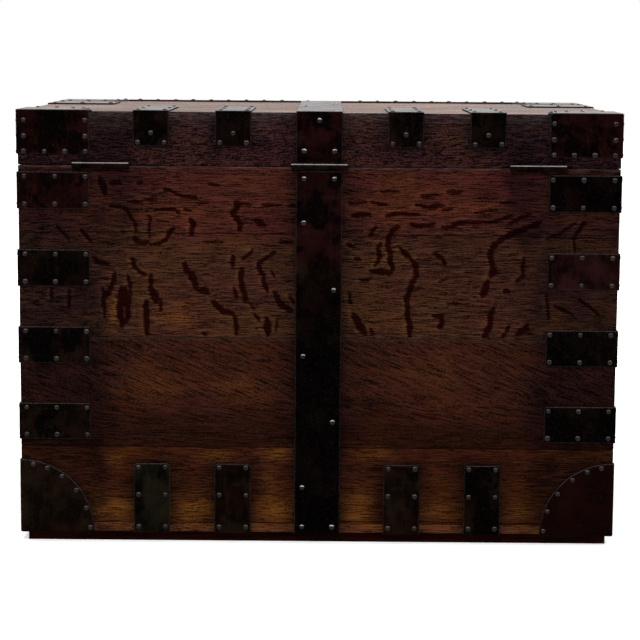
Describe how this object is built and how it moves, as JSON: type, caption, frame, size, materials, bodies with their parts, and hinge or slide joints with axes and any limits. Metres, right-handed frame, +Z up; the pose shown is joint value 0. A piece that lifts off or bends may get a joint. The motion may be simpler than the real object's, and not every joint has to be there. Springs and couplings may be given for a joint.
{
  "type": "silver chest",
  "caption": "Iron-bound oak chest with a hinged lid, lift-out tray, box lock with key, and bail handles on its ends",
  "frame": {"origin": "on the floor under the middle of the chest", "axes": "+X to the right of someone who faces the front, +Y from the front to the hinges at the back, +Z up"},
  "size_m": [0.956, 0.6498, 0.666],
  "materials": {
    "oak_boards": "fumed oak, waxed, satin",
    "plinth_wood": "dark red stained, satin",
    "tray_wood": "planed oak, waxed, satin",
    "iron_plates": "hammered wrought iron, blackened, some rust",
    "iron_nails": "hammered heads, worn bright on top",
    "bright_steel": "dull, lightly oxidised",
    "old_brass": "aged, satin",
    "green_baize": "matt felted cloth"
  },
  "bodies": {
    "chest": {"back_upper_board": "oak_boards", "back_middle_board": "oak_boards", "back_lower_board": "oak_boards", "front_upper_board": "oak_boards", "front_middle_board": "oak_boards", "front_lower_board": "oak_boards", "left_end_boards": "oak_boards", "right_end_boards": "oak_boards", "bottom_boards": "oak_boards", "plinth_rails": "plinth_wood", "tray_runners": "tray_wood", "back_centre_strap": "iron_plates", "front_centre_strap": "iron_plates", "back_left_corner_plates": "iron_plates", "back_right_corner_plates": "iron_plates", "front_left_corner_plates": "iron_plates", "front_right_corner_plates": "iron_plates", "back_left_base_cap": "iron_plates", "back_right_base_cap": "iron_plates", "front_left_base_cap": "iron_plates", "front_right_base_cap": "iron_plates", "back_base_clips": "iron_plates", "front_base_clips": "iron_plates", "end_base_clips": "iron_plates", "hinge_body_leaves": "iron_plates", "left_handle_plate": "iron_plates", "right_handle_plate": "iron_plates", "back_nails": "iron_nails", "front_nails": "iron_nails", "left_nails": "iron_nails", "right_nails": "iron_nails", "hinge_pins": "bright_steel", "chest_screws": "bright_steel", "lock_case": "bright_steel", "lock_cap": "bright_steel", "escutcheon": "old_brass", "chest_lining": "green_baize"},
    "lid": {"lid_top_boards": "oak_boards", "lid_back_rim": "oak_boards", "lid_front_rim": "oak_boards", "lid_left_rim": "oak_boards", "lid_right_rim": "oak_boards", "lid_lining": "green_baize", "lid_centre_strap": "iron_plates", "lid_corner_caps": "iron_plates", "lid_back_clips": "iron_plates", "lid_end_clips": "iron_plates", "lid_edge_strips": "iron_plates", "lid_nails": "iron_nails", "hinge_lid_leaves": "iron_plates", "lid_screws": "bright_steel", "lock_link_plate": "bright_steel"},
    "tray": {"tray_sides": "tray_wood", "tray_bottom": "tray_wood", "tray_dividers": "tray_wood", "tray_lining": "green_baize"},
    "left_bail": {"left_handle": "iron_plates"},
    "right_bail": {"right_handle": "iron_plates"},
    "bolt": {"lock_bolt": "old_brass"},
    "turning_key": {"key": "bright_steel"}
  },
  "joints": [
    {"name": "lid_hinge", "type": "hinge", "parent": "chest", "child": "lid", "pos_m": [0, 0.32012, 0.58], "axis": [-1, 0, 0], "range_deg": [0, 100]},
    {"name": "tray_lift", "type": "slide", "parent": "chest", "child": "tray", "axis": [0, 0, 1], "range_m": [0, 0.055]},
    {"name": "key_turn", "type": "hinge", "parent": "chest", "child": "turning_key", "pos_m": [0, -0.28987, 0.5436], "axis": [0, -1, 0], "range_deg": [0, 180]},
    {"name": "bolt_slide", "type": "slide", "parent": "chest", "child": "bolt", "axis": [-1, 0, 0], "range_m": [0, 0.009]},
    {"name": "left_bail_swing", "type": "hinge", "parent": "chest", "child": "left_bail", "pos_m": [-0.469, 0.01263, 0.356], "axis": [0, 1, 0], "range_deg": [0, 180]},
    {"name": "right_bail_swing", "type": "hinge", "parent": "chest", "child": "right_bail", "pos_m": [0.469, 0.01263, 0.356], "axis": [0, -1, 0], "range_deg": [0, 180]}
  ],
  "couplings": [
    {"joint": "key_turn", "follows": "bolt_slide", "rad_per_m": 349.06}
  ]
}
